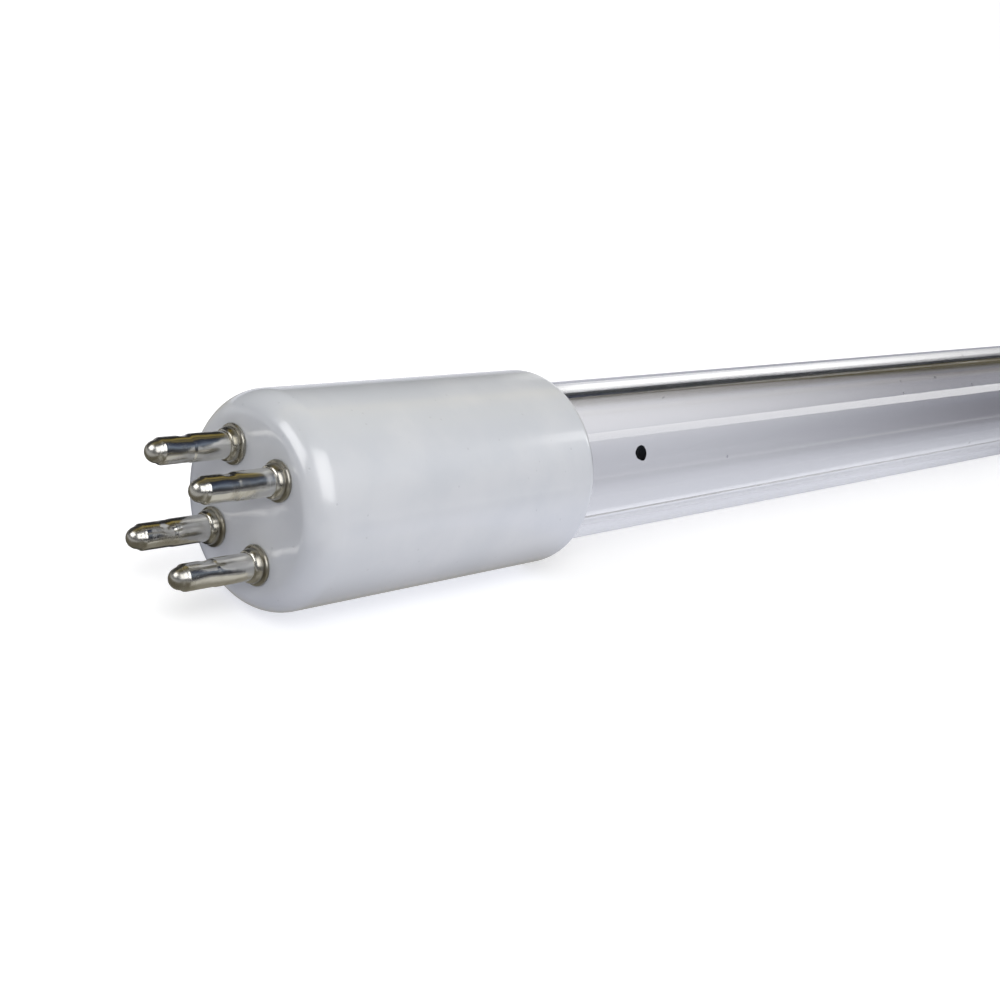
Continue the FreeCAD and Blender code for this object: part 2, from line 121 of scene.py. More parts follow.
class Value:
    """A socket of a node tree. Arithmetic on it adds the nodes that work it out."""

    def __init__(self, tree, socket):
        self.tree = tree
        self.socket = socket

    def math(self, operation, *others):
        return self.tree.add("ShaderNodeMath", {"operation": operation}, {
            place: other for place, other in enumerate((self, *others))
        })

    def __add__(self, other):
        return self.math("ADD", other)

    def __sub__(self, other):
        return self.math("SUBTRACT", other)

    def __mul__(self, other):
        return self.math("MULTIPLY", other)

    def __truediv__(self, other):
        return self.math("DIVIDE", other)

    def __radd__(self, other):
        return self.math("ADD", other)

    def __rsub__(self, other):
        return self.tree.add("ShaderNodeMath", {"operation": "SUBTRACT"}, {0: other, 1: self})

    def at_most(self, other):
        return self.math("MINIMUM", other)

    def ramp(self, low, high):
        """0 below the low value, 1 above the high one, and a smooth step between them."""
        return self.tree.add("ShaderNodeMapRange", {"interpolation_type": "SMOOTHSTEP"}, {
            "Value": self, "From Min": low, "From Max": high,
        })


class Tree:
    """The nodes of one material or of the world."""

    def __init__(self, owner):
        owner.use_nodes = True
        self.nodes = owner.node_tree.nodes
        self.links = owner.node_tree.links
        self.nodes.clear()

    def add(self, kind, settings=None, inputs=None, output=0):
        """A node of any kind. Settings are made first, then its sockets are filled or linked."""
        made = self.nodes.new(kind)
        for name, setting in (settings or {}).items():
            if name == "stops":
                fill_ramp(made.color_ramp, setting)
            else:
                setattr(made, name, setting)
        for place, given in (inputs or {}).items():
            if isinstance(given, Value):
                self.links.new(given.socket, made.inputs[place])
            else:
                made.inputs[place].default_value = given
        return Value(self, made.outputs[output])

    def position(self):
        """Places on the object, in its own frame."""
        return self.add("ShaderNodeTexCoord", output="Object")

    def stretched(self, scale):
        """Places on the object, scaled along each axis."""
        return self.add("ShaderNodeMapping", inputs={"Vector": self.position(), "Scale": scale})

    def part(self, vector, axis):
        return self.add("ShaderNodeSeparateXYZ", inputs={0: vector}, output=axis)

    def grain(self, scale, detail=3.0, roughness=0.5, stretch=(1, 1, 1)):
        """Soft noise, with a size in marks for each metre."""
        return self.add("ShaderNodeTexNoise", inputs={
            "Vector": self.stretched(stretch), "Scale": scale, "Detail": detail, "Roughness": roughness,
        })

    def specks(self, scale, size):
        """1 in small scattered spots and 0 elsewhere."""
        spots = self.add("ShaderNodeTexVoronoi", inputs={"Vector": self.position(), "Scale": scale})
        return 1 - spots.ramp(size * 0.6, size)

    def blend(self, share, first, second):
        """One colour where the share is 0, the other where it is 1."""
        return self.add("ShaderNodeMix", {"data_type": "RGBA"}, {0: share, 6: first, 7: second}, output=2)

    def bump(self, height, depth, under=None):
        """Surface directions for a relief of a depth in metres, laid over another relief if given."""
        inputs = {"Height": height, "Distance": depth, "Strength": 1.0}
        if under:
            inputs["Normal"] = under
        return self.add("ShaderNodeBump", inputs=inputs)

    def surface(self, inputs):
        return self.add("ShaderNodeBsdfPrincipled", inputs=inputs)

    def finish(self, shader, kind="ShaderNodeOutputMaterial"):
        made = self.nodes.new(kind)
        self.links.new(shader.socket, made.inputs["Surface"])


def fill_ramp(ramp, stops):
    """Set a colour ramp's stops, each a place from 0 to 1 and its colour."""
    while len(ramp.elements) < len(stops):
        ramp.elements.new(1.0)
    for element, (place, colour) in zip(ramp.elements, stops):
        element.position = place
        element.color = (*colour, 1.0)


def tone(red, green=None, blue=None):
    """A linear colour with its alpha."""
    return (red, red if green is None else green, red if blue is None else blue, 1.0)


def new_tree(name):
    material = bpy.data.materials.new(name)
    return material, Tree(material)


# Materials of the lamp

def make_ceramic():
    """Semi-gloss fired white ceramic with a faint cloudiness and a fine uneven skin."""
    material, tree = new_tree("fired_white_ceramic")
    clouds = tree.grain(160, 4.0)
    skin = tree.grain(900, 3.0)
    pores = tree.specks(700, 0.09)
    cloudy = tree.blend(clouds.ramp(0.35, 0.68), tone(0.67, 0.69, 0.715), tone(0.72, 0.733, 0.75))
    coloured = tree.blend(pores * 0.22, cloudy, tone(0.42, 0.43, 0.45))
    rough = 0.22 + clouds * 0.12 + skin * 0.06
    waves = tree.bump(tree.grain(260, 2.0), 0.06 * MM)
    glaze = tree.bump(skin - pores, 0.012 * MM, waves)
    tree.finish(tree.surface({
        "Base Color": coloured, "Roughness": rough, "IOR": 1.55, "Normal": glaze,
        "Coat Weight": 1.0, "Coat Roughness": 0.12,
    }))
    return material


def make_quartz():
    """Clear quartz with a breath of violet, faint draw lines along it and a little dust."""
    material, tree = new_tree("clear_quartz")
    lines = tree.grain(700, 3.0, stretch=(0.02, 1, 1))
    dust = tree.specks(165, 0.045)
    haze = tree.grain(90, 3.0)
    tint = tree.blend(lines.ramp(0.35, 0.7), tone(0.985, 0.985, 0.993), tone(0.97, 0.97, 0.982))
    coloured = tree.blend(dust, tint, tone(0.42, 0.43, 0.48))
    rough = haze.ramp(0.55, 0.8) * 0.03 + dust * 0.3
    glass = tree.surface({
        "Base Color": coloured, "Roughness": rough, "IOR": 1.458, "Transmission Weight": 1.0,
        "Normal": tree.bump(lines, 0.002 * MM),
    })
    clear = tree.add("ShaderNodeBsdfTransparent", inputs={"Color": tone(0.93, 0.93, 0.95)})
    shadow = tree.add("ShaderNodeLightPath", output="Is Shadow Ray")
    tree.finish(tree.add("ShaderNodeMixShader", inputs={0: shadow, 1: glass, 2: clear}))
    return material


def make_nickel():
    """Bright nickel plate with fine turning rings, rubbed streaks, a little brown tarnish, and noses painted
    darker as a painted dark reflection.
    """
    material, tree = new_tree("bright_nickel_plate")
    rings = tree.grain(9000, 2.0, stretch=(1, 0.03, 0.03))
    rubbed = tree.grain(1500, 3.0, stretch=(0.12, 1, 1))
    ripples = tree.grain(430, 1.0)
    tarnish = tree.grain(420, 4.0).ramp(0.5, 0.78)
    along = tree.part(tree.position(), "X")
    root = along.ramp(-1.4 * MM, -0.7 * MM)
    tipped = 1 - along.ramp(-7.7 * MM, -6.9 * MM)
    plate = tree.blend(rubbed.ramp(0.3, 0.7), tone(0.68, 0.665, 0.62), tone(0.77, 0.76, 0.73))
    stained = tree.blend(root * (0.65 + tarnish * 0.35), plate, tone(0.19, 0.172, 0.125))
    # Painted dark reflection: the noses are painted darker grey here; only their added roughness stands for
    # rubbing
    painted_dark_nose = tree.blend(tipped * (0.35 + tarnish * 0.6), stained, tone(0.2, 0.19, 0.17))
    coloured = tree.blend(tarnish * 0.6, painted_dark_nose, tone(0.34, 0.31, 0.23))
    rough = 0.13 + rubbed * 0.1 + tarnish * 0.14 + root * 0.1 + tipped * 0.1
    dents = tree.bump(ripples, 0.24 * MM)
    streaks = tree.bump(rubbed, 0.004 * MM, dents)
    tree.finish(tree.surface({
        "Base Color": coloured, "Metallic": 1.0, "Roughness": rough,
        "Normal": tree.bump(rings, 0.003 * MM, streaks),
    }))
    return material


def make_wire(name, light, dark, smooth):
    """Drawn wire with streaks along it and patches of oxide."""
    material, tree = new_tree(name)
    streaks = tree.grain(3000, 3.0, stretch=(0.05, 1, 1))
    oxide = tree.grain(260, 4.0).ramp(0.45, 0.7)
    drawn = tree.blend(streaks, light, tone(*(0.8 * part for part in light[:3])))
    tree.finish(tree.surface({
        "Base Color": tree.blend(oxide * 0.6, drawn, dark), "Metallic": 1.0,
        "Roughness": smooth + streaks * 0.15 + oxide * 0.12,
        "Normal": tree.bump(streaks, 0.004 * MM),
    }))
    return material


def make_filament():
    """Tungsten under a thin chalky coat of emitter."""
    material, tree = new_tree("coated_tungsten")
    coat = tree.grain(2600, 4.0).ramp(0.4, 0.62)
    coloured = tree.blend(coat, tone(0.16, 0.16, 0.17), tone(0.62, 0.61, 0.58))
    tree.finish(tree.surface({
        "Base Color": coloured, "Metallic": 0.6 - coat * 0.6, "Roughness": 0.45 + coat * 0.4,
        "Normal": tree.bump(coat, 0.01 * MM),
    }))
    return material


def make_cement():
    """Matt off-white basing cement with a sandy grain."""
    material, tree = new_tree("basing_cement")
    sand = tree.grain(2400, 4.0, 0.65)
    patches = tree.grain(240, 3.0)
    coloured = tree.blend(patches.ramp(0.35, 0.65), tone(0.66, 0.66, 0.65), tone(0.76, 0.76, 0.755))
    tree.finish(tree.surface({
        "Base Color": tree.blend(sand.ramp(0.5, 0.8) * 0.4, coloured, tone(0.5, 0.49, 0.47)),
        "Roughness": 0.8 + sand * 0.15, "Normal": tree.bump(sand, 0.05 * MM),
    }))
    return material


def make_amalgam():
    """Dull, nearly black amalgam with a wrinkled skin."""
    material, tree = new_tree("dull_amalgam")
    wrinkles = tree.grain(2600, 4.0)
    tree.finish(tree.surface({
        "Base Color": tree.blend(wrinkles, tone(0.004, 0.004, 0.005), tone(0.016, 0.016, 0.018)),
        "Metallic": 0.9, "Roughness": 0.45 + wrinkles * 0.25, "Normal": tree.bump(wrinkles, 0.04 * MM),
    }))
    return material


# Meshes

# Edges that turn by more than this many degrees stay sharp
SHARP_ANGLE = 32
TUBE_SHARP_ANGLE = 50

# How much large flats rule the shading, and how finely a wire is rounded
FLAT_WEIGHT = 80
WIRE_ROUNDNESS = 4


def soften(mesh, sharp_angle):
    """Smooth shading, but for the edges that are sharper than the angle."""
    mesh.shade_smooth()
    mesh.set_sharp_from_angle(angle=math.radians(sharp_angle))


def piece_from(name, bm, material, replaced):
    """Make a finished mesh a piece that rides on the lamp and stands for its node."""
    mesh = bpy.data.meshes.new(name)
    bmesh.ops.recalc_face_normals(bm, faces=bm.faces)
    bm.to_mesh(mesh)
    bm.free()
    soften(mesh, SHARP_ANGLE)
    return settle(bpy.data.objects.new(name, mesh), material, replaced)


def settle(piece, material, replaced):
    """Put a piece in the scene with its material, slot and node."""
    bpy.context.scene.collection.objects.link(piece)
    piece.data.materials.append(material)
    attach(piece, "root")
    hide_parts(replaced)
    return piece


def arc(centre, radius, start, end, steps):
    """Points of an arc from one angle to the other, in degrees."""
    return [
        (centre[0] + radius * math.cos(math.radians(start + (end - start) * step / steps)),
         centre[1] + radius * math.sin(math.radians(start + (end - start) * step / steps)))
        for step in range(steps + 1)
    ]


def ring_of(bm, x, radius, segments, centre=(0.0, 0.0), shape=None):
    """A ring of points round the X axis, whose radius may be shaped by the angle."""
    points = []
    for number in range(segments):
        angle = 2 * math.pi * number / segments
        reach = radius if shape is None else shape(x, radius, angle)
        points.append(bm.verts.new((x, centre[0] + reach * math.cos(angle),
                                    centre[1] + reach * math.sin(angle))))
    return points


def join_rings(bm, first, second):
    """A band of four-sided faces between two rings of as many points."""
    for number in range(len(first)):
        after = (number + 1) % len(first)
        bm.faces.new((first[number], first[after], second[after], second[number]))


def close_ring(bm, ring, x, centre=(0.0, 0.0)):
    """Close a ring with a fan round a point on the axis."""
    middle = bm.verts.new((x, *centre))
    for number in range(len(ring)):
        bm.faces.new((ring[number], ring[(number + 1) % len(ring)], middle))


def turned(bm, profile, segments, centre=(0.0, 0.0), shape=None):
    """Rings along a profile of (place, radius), joined to their neighbours."""
    rings = [ring_of(bm, x, radius, segments, centre, shape) for x, radius in profile]
    for first, second in zip(rings, rings[1:]):
        join_rings(bm, first, second)
    return rings


def fill_between(bm, *rings):
    """A flat face inside the first ring, with a hole for each other ring."""
    edges = [bm.edges.get((ring[number - 1], ring[number])) for ring in rings for number in range(len(ring))]
    bmesh.ops.triangle_fill(bm, edges=edges, use_beauty=True)


# Ceramic base and end cap

def shell_profile(length, thickness):
    """The section of a ceramic cup, from the flat of its face, outside, to the flat of its bore."""
    drop = CERAMIC_RADIUS - FACE_RADIUS
    run = math.sqrt(2 * EDGE_ROUNDING * drop - drop * drop)
    edge = (run, CERAMIC_RADIUS - EDGE_ROUNDING)
    reach = EDGE_ROUNDING - FACE_SOFTENING
    soft = (FACE_SOFTENING, edge[1] + math.sqrt(reach ** 2 - (edge[0] - FACE_SOFTENING) ** 2))
    meet = math.degrees(math.atan2(soft[1] - edge[1], soft[0] - edge[0]))
    rim_drop = CERAMIC_RADIUS - BORE_RADIUS
    rim_run = math.sqrt(2 * RIM_ROUNDING * rim_drop - rim_drop * rim_drop)
    rim = (length - rim_run, CERAMIC_RADIUS - RIM_ROUNDING)
    last = math.degrees(math.atan2(BORE_RADIUS - rim[1], rim_run))
    profile = arc(soft, FACE_SOFTENING, 180, meet, 6)
    profile += arc(edge, EDGE_ROUNDING, meet, 90, 16)[1:]
    profile += [(length * share, CERAMIC_RADIUS) for share in (0.3, 0.5, 0.7)]
    profile += arc(rim, RIM_ROUNDING, 90, last, 12)
    profile += [
        (length - MOUTH_BREAK, BORE_RADIUS - MOUTH_BREAK / 2),
        (length - 3 * MOUTH_BREAK, BORE_RADIUS),
        (length / 2, BORE_RADIUS),
        (thickness + FLOOR_FILLET, BORE_RADIUS),
    ]
    floor = (thickness + FLOOR_FILLET, BORE_RADIUS - FLOOR_FILLET)
    profile += arc(floor, FLOOR_FILLET, 90, 180, 4)[1:]
    return profile


def pin_places():
    """The middle of each pin, from its node."""
    places = []
    for number in range(1, 5):
        low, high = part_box(f"contact_pin_{number}")
        places.append(((low.y + high.y) / 2, (low.z + high.z) / 2))
    return places


def smooth_flats(piece):
    """Let the large flat faces set the shading beside a rounding."""
    weighted = piece.modifiers.new("flats", "WEIGHTED_NORMAL")
    weighted.keep_sharp = True
    weighted.weight = FLAT_WEIGHT


def build_ceramic_base(material):
    """The cup that holds the tube, with a hole through its face for each pin."""
    bm = bmesh.new()
    rings = turned(bm, shell_profile(BASE_LENGTH, FACE_THICKNESS), CERAMIC_SEGMENTS)
    front = []
    back = []
    for place in pin_places():
        sides = [(0.0, PIN_HOLE_RADIUS), (FACE_THICKNESS, PIN_HOLE_RADIUS)]
        hole = turned(bm, sides, HOLE_SEGMENTS, place)
        front.append(hole[0])
        back.append(hole[1])
    fill_between(bm, rings[0], *front)
    fill_between(bm, rings[-1], *back)
    smooth_flats(piece_from("fired_base", bm, material, "ceramic_base"))


def build_end_cap(material):
    """The closed cup at the far end."""
    bm = bmesh.new()
    profile = [(LAMP_LENGTH - x, radius) for x, radius in shell_profile(CAP_LENGTH, CAP_END_THICKNESS)]
    rings = turned(bm, profile, CERAMIC_SEGMENTS)
    fill_between(bm, rings[0])
    fill_between(bm, rings[-1])
    smooth_flats(piece_from("fired_end_cap", bm, material, "ceramic_end_cap"))


# Contact pins

PIN_HOLE_RADIUS = 1.05 * MM
SHANK_RADIUS = 1.0 * MM
RIVET_RADIUS = 1.55 * MM
RIVET_BREAK = 0.1 * MM
RIVET_RUN = 0.08 * MM
PIN_BORE_RADIUS = 0.45 * MM
PIN_BORE_END = 4.0 * MM
FLANGE_RADIUS = 1.75 * MM
COLLAR_RADIUS = 1.5 * MM
COLLAR_FRONT = 0.44 * MM
COLLAR_CROWN = 0.64 * MM
SHAFT_RADIUS = 1.18 * MM
TIP_RADIUS = 1.13 * MM
TIP_START = 4.58 * MM
NOSE_START = 7.4 * MM
NOSE_RADIUS = 0.94 * MM
CRIMP_PLACE = -5.05 * MM
CRIMP_REACH = 0.62 * MM
CRIMP_DEPTH = 0.09 * MM
CRIMP_WIDTH = 0.25
CRIMP_STEPS = 18
CRIMP_TURNS = [50, 60, 105, 65]

# Points of the pins' outline in millimetres: forward from the face, and in from the radius named with it
FLANGE_EDGE = [(0.0, 0.08), (0.032, 0.024), (0.08, 0.0), (0.24, 0.0), (0.31, 0.04), (0.35, 0.128)]
COLLAR_CREASE = [(0.36, -0.03), (0.38, 0.02)]
SHAFT_LINE = [(1.16, 0.0), (2.2, 0.0), (3.2, 0.0), (4.28, 0.0), (4.36, 0.01), (4.5, 0.042)]
TIP_LINE = [(5.8, 0.0), (6.5, 0.0), (7.1, 0.0), (7.18, 0.012), (7.26, 0.05), (7.34, 0.1), (7.42, 0.15)]


def crimped(x, radius, angle):
    """The pin's radius, pressed in at one side by the punch of a crimping tool."""
    along = abs(x - CRIMP_PLACE) / CRIMP_REACH
    if along >= 1:
        return radius
    across = max(0.0, math.sin(angle) - 1 + CRIMP_WIDTH) / CRIMP_WIDTH
    bowl = (1 - along ** 2) ** 1.5 * across ** 0.8
    return radius - CRIMP_DEPTH * bowl


def outline(points, radius):
    """Places and radii of outline points that are measured from a radius."""
    return [(-forward * MM, radius - inward * MM) for forward, inward in points]


def pin_profile():
    """The pin's section from the bottom of its bore, round the rivet, to the tip."""
    proud = COLLAR_RADIUS - SHAFT_RADIUS
    long = (PIN_REACH - NOSE_START) / NOSE_RADIUS
    bend = [1 - 2 * step / CRIMP_STEPS for step in range(1, CRIMP_STEPS)]
    return [
        (-PIN_BORE_END, PIN_BORE_RADIUS),
        (PIN_BACK, PIN_BORE_RADIUS),
        (PIN_BACK, RIVET_RADIUS - RIVET_BREAK),
        (PIN_BACK - RIVET_RUN, RIVET_RADIUS),
        (FACE_THICKNESS, RIVET_RADIUS),
        (FACE_THICKNESS, SHANK_RADIUS),
        (0.0, SHANK_RADIUS),
        *outline(FLANGE_EDGE, FLANGE_RADIUS),
        *outline(COLLAR_CREASE, COLLAR_RADIUS),
        *[(-COLLAR_FRONT - COLLAR_CROWN * x, SHAFT_RADIUS + proud * y) for x, y in arc((0, 0), 1, 90, 0, 8)],
        *outline(SHAFT_LINE, SHAFT_RADIUS),
        (-TIP_START, TIP_RADIUS),
        *[(CRIMP_PLACE + CRIMP_REACH * share, TIP_RADIUS) for share in bend],
        *outline(TIP_LINE, TIP_RADIUS),
        *[(-NOSE_START - x * long, radius) for x, radius in arc((0, 0), NOSE_RADIUS, 80, 6, 12)],
    ]


def build_pin(number, place, material):
    """A turned pin, hollow from behind, with its dent turned to the side that its number gives."""
    bm = bmesh.new()
    shift = math.radians(CRIMP_TURNS[number - 1] - 90)
    rings = turned(bm, pin_profile(), PIN_SEGMENTS, place,
                   lambda x, radius, angle: crimped(x, radius, angle - shift))
    close_ring(bm, rings[0], -PIN_BORE_END, place)
    close_ring(bm, rings[-1], -PIN_REACH, place)
    piece_from(f"turned_pin_{number}", bm, material, f"contact_pin_{number}")


# Quartz tube

def pressed(radius, half, angle):
    """A point of a round section of the tube, pressed flat between two jaws."""
    across = radius * math.cos(angle)
    sharp = 8
    squeezed = across / (1 + (abs(across) / half) ** sharp) ** (1 / sharp)
    return squeezed, radius * math.sin(angle)


def jaw_gap(x, press_end, middle_end, thickness):
    """Half the gap that the jaws leave at a place, from the press to the round of the tube."""
    share = min(max((x - press_end) / (middle_end - press_end), 0.0), 1.0)
    eased = share * share * (3 - 2 * share)
    wide_open = 3 * TUBE_RADIUS
    return thickness + (wide_open - thickness) * eased ** 2


def tube_wall(bm, radius, half, first_x, start, last_x):
    """One skin of the tube, closed at both flat ends. Start is how long each press is."""
    steps = 30
    spans = 8
    low = [first_x] + [first_x + start + SHOULDER_LENGTH * step / steps for step in range(steps + 1)]
    high = [last_x - (x - first_x) for x in reversed(low)]
    middle = [low[-1] + (high[0] - low[-1]) * span / spans for span in range(1, spans)]
    rings = []
    for x in low + middle + high:
        from_end = min(x - first_x, last_x - x)
        gap = jaw_gap(from_end, start, start + SHOULDER_LENGTH, half)
        ring = []
        for number in range(TUBE_SEGMENTS):
            y, z = pressed(radius, gap, 2 * math.pi * number / TUBE_SEGMENTS)
            ring.append(bm.verts.new((x, y, z)))
        rings.append(ring)
    for first, second in zip(rings, rings[1:]):
        join_rings(bm, first, second)
    bm.faces.new(rings[0])
    bm.faces.new(list(reversed(rings[-1])))


def build_tube(material):
    """One piece of glass: its outer skin with the hollow's skin turned inward."""
    bm = bmesh.new()
    tube_wall(bm, TUBE_RADIUS, PRESS_HALF, TUBE_LOW.x, PRESS_LENGTH, TUBE_HIGH.x)
    inner_low = TUBE_LOW.x + PRESS_LENGTH
    inner_high = TUBE_HIGH.x - PRESS_LENGTH
    inner = bmesh.new()
    tube_wall(inner, INNER_RADIUS, PRESS_HALF - TUBE_WALL, inner_low, 0.0, inner_high)
    bmesh.ops.recalc_face_normals(bm, faces=bm.faces)
    bmesh.ops.recalc_face_normals(inner, faces=inner.faces)
    bmesh.ops.reverse_faces(inner, faces=inner.faces)
    hollow = bpy.data.meshes.new("hollow")
    inner.to_mesh(hollow)
    inner.free()
    bm.from_mesh(hollow)
    mesh = bpy.data.meshes.new("drawn_tube")
    bm.to_mesh(mesh)
    bm.free()
    soften(mesh, TUBE_SHARP_ANGLE)
    settle(bpy.data.objects.new("drawn_tube", mesh), material, "quartz_tube")


# Wires, cathodes, cement and amalgam

def thread(name, points, radius, material, replaced):
    """A round wire along close points."""
    curve = bpy.data.curves.new(name, "CURVE")
    curve.dimensions = "3D"
    curve.bevel_depth = radius
    curve.bevel_resolution = WIRE_ROUNDNESS
    curve.use_fill_caps = True
    spline = curve.splines.new("POLY")
    spline.points.add(len(points) - 1)
    for point, place in zip(spline.points, points):
        point.co = (*place, 1.0)
    settle(bpy.data.objects.new(name, curve), material, replaced)


def coiled_coil(start_x, way):
    """The points of a filament wound from a wire that is itself a fine coil."""
    height = LEAD_SPACING - 2 * LEAD_RADIUS - COIL_THICKNESS - COIL_CLEARANCE
    fine_radius = COIL_THICKNESS / 2 - FINE_WIRE
    steps = FINE_TURNS * 8
    points = []
    for step in range(steps + 1):
        share = step / steps
        turn = 2 * math.pi * COIL_TURNS * share
        twist = 2 * math.pi * FINE_TURNS * share
        reach = COIL_RADIUS + fine_radius * math.cos(twist)
        points.append((
            start_x + way * reach * math.cos(turn),
            reach * math.sin(turn),
            height * (share - 0.5) + fine_radius * math.sin(twist),
        ))
    return points


def bent_route(points, bend):
    """A route of straight runs with its corners turned on an arc."""
    corners = [Vector(point) for point in points]
    route = [corners[0]]
    for before, corner, after in zip(corners, corners[1:], corners[2:]):
        inward = (before - corner).normalized()
        onward = (after - corner).normalized()
        half_angle = inward.angle(onward) / 2
        centre = corner + (inward + onward).normalized() * (bend / math.sin(half_angle))
        spoke = corner + inward * (bend / math.tan(half_angle)) - centre
        turn = math.pi - 2 * half_angle
        axis = onward.cross(inward).normalized()
        steps = 8
        for step in range(steps + 1):
            route.append(centre + Matrix.Rotation(turn * step / steps, 3, axis) @ spoke)
    route.append(corners[-1])
    return route


def build_return_wires(material):
    """Two bare wires along the tube, from the far leads to the two pins on the far side."""
    places = pin_places()
    out = TUBE_RADIUS + WIRE_GAP + WIRE_RADIUS
    touch = OUTER_LEAD_RADIUS + WIRE_RADIUS + WELD_GAP
    ends = ((places[0], LEAD_SPACING / 2), (places[2], -LEAD_SPACING / 2))
    for number, (degrees, (pin, upward)) in enumerate(zip(WIRE_ANGLES, ends), start=1):
        angle = math.radians(degrees)
        side = (out * math.cos(angle), out * math.sin(angle))
        apart = math.hypot(side[0], side[1] - upward)
        weld = (touch * side[0] / apart, upward + touch * (side[1] - upward) / apart)
        points = bent_route([
            (PIN_BACK - WIRE_IN_PIN, *pin),
            (PIN_BACK + WIRE_BEHIND_PIN, *pin),
            (TUBE_LOW.x - WIRE_STEP, *side),
            (TUBE_HIGH.x + WIRE_STEP, *side),
            (TUBE_HIGH.x + 2 * WIRE_STEP, *weld),
            (TUBE_HIGH.x + WIRE_PAST_TUBE, *weld),
        ], WIRE_BEND)
        thread(f"bare_wire_{number}", points, WIRE_RADIUS, material, f"return_wire_{number}")


def build_cement(name, node, mouth, way, material):
    """A ring of cement that fills the gap, with a slightly hollow, sandy front."""
    bm = bmesh.new()
    front = mouth - way * CEMENT_RECESS
    back = mouth - way * CEMENT_DEPTH
    steps = 6
    low = TUBE_RADIUS + CEMENT_SKIN
    high = BORE_RADIUS - CEMENT_SKIN
    profile = [(back, low), (back, high)]
    for step in range(steps + 1):
        share = step / steps
        hollow = CEMENT_HOLLOW * math.sin(math.pi * share)
        profile.append((front - way * hollow, high + (low - high) * share))
    rings = turned(bm, profile, CERAMIC_SEGMENTS)
    join_rings(bm, rings[-1], rings[0])
    for ring in rings[3:]:
        for vert in ring:
            vert.co.x += CEMENT_GRIT * noise.noise(vert.co * GRIT_PER_METRE)
    piece_from(name, bm, material, node)


def build_pellet(material):
    """A small bead of amalgam, flattened where it has run on to the inner wall."""
    bm = bmesh.new()
    bmesh.ops.create_icosphere(bm, subdivisions=5, radius=1.0)
    outward = Vector((0, math.cos(PELLET_ANGLE), math.sin(PELLET_ANGLE)))
    around = Vector((0, -math.sin(PELLET_ANGLE), math.cos(PELLET_ANGLE)))
    for vert in bm.verts:
        unit = vert.co.normalized()
        swell = 1 + PELLET_LUMPS * noise.noise(unit * 2.3) + PELLET_WRINKLES * noise.noise(unit * 7)
        x = unit.x * PELLET_RADIUS * swell
        turn = unit.y * PELLET_SPREAD * swell
        depth = max(unit.z, PELLET_FLAT) * PELLET_HEIGHT * swell
        wall = math.sqrt(INNER_RADIUS ** 2 - turn ** 2) - PELLET_GAP
        reach = max(wall - depth, 0)
        vert.co = Vector((PELLET_PLACE + x, 0, 0)) + outward * reach + around * turn
    piece_from("amalgam_bead", bm, material, "amalgam_pellet")


def dress_nodes(materials):
    """Give each node that is shown as it is the finish of its metal."""
    for end in ("base", "end"):
        for number in (1, 2):
            for part, finish in (("foil", "foil"), ("outer_lead", "molybdenum"), ("inner_lead", "nickel")):
                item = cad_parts[f"{end}_{part}_{number}"]
                item.data.materials.clear()
                item.data.materials.append(materials[finish])


# Stage

SQUARE = ((-1, -1), (1, -1), (1, 1), (-1, 1))
TABLE_HALF = 6.0
STRIP_DISTANCE = 0.4
STRIP_ANGLE = 119.2

# Each corner of the strip card: its place along the lamp, and its turn from the card's middle in degrees
STRIP_CORNERS = ((0.46, -5.5), (0.46, 5.5), (1.4, 9.5), (1.4, -9.5))

# The camera: its place, the directions to its right and forward, and its lens and sensor in millimetres
CAMERA_PLACE = Vector((-72.81, -82.88, 56.54)) * MM
CAMERA_RIGHT = Vector((0.6909, -0.6637, 0.2867)).normalized()
CAMERA_FORWARD = Vector((0.7145, 0.5661, -0.4112)).normalized()
CAMERA_LENS = 53.595
SENSOR_WIDTH = 36.0


def flat_card(name, corners, material):
    """A staged card with one face."""
    bm = bmesh.new()
    bm.faces.new([bm.verts.new(corner) for corner in corners])
    mesh = bpy.data.meshes.new(name)
    bm.to_mesh(mesh)
    bm.free()
    mesh.materials.append(material)
    card = bpy.data.objects.new(name, mesh)
    bpy.context.scene.collection.objects.link(card)
    return card


# Where the table's tones change along the lamp from its pin face, as the start and end of each change
NOSES_ALONG = (-0.031, -0.022)
BOUNCE_ALONG = (-0.03, 0.02)
FACE_ALONG = (-0.012, 0.0)
MOUTH_ALONG = (0.034, 0.044)
TUBE_ALONG = (0.07, 0.185)
PALE_ALONG = (0.1, 0.17)
DARK_STRIP_ALONG = (0.11, 0.15)
EDGE_ALONG = (0.12, 0.175)
STRIP_ALONG = (0.13, 0.21)

# Where they change across it, with the far side positive
OPEN_ACROSS = (-0.11, -0.012)
UNDERSIDE_ACROSS = (-0.014, -0.007)
LAMP_ACROSS = (-0.003, 0.008)
SHADE_START = (0.001, 0.004)
BEHIND_ACROSS = (0.012, 0.026)
SHADE_END = (0.029, 0.037)
FADE_ACROSS = (0.03, 0.05)
STRIP_START = (0.046, 0.055)
STRIP_END = (0.16, 0.25)
FADE_SHARE = 0.4
STRIP_SHIFT = 0.009
EDGE_SHIFT = 0.005

# How white the table is to the camera: what it scatters, and what it glows by itself
TABLE_WHITE = 0.8
TABLE_GLOW = 0.42


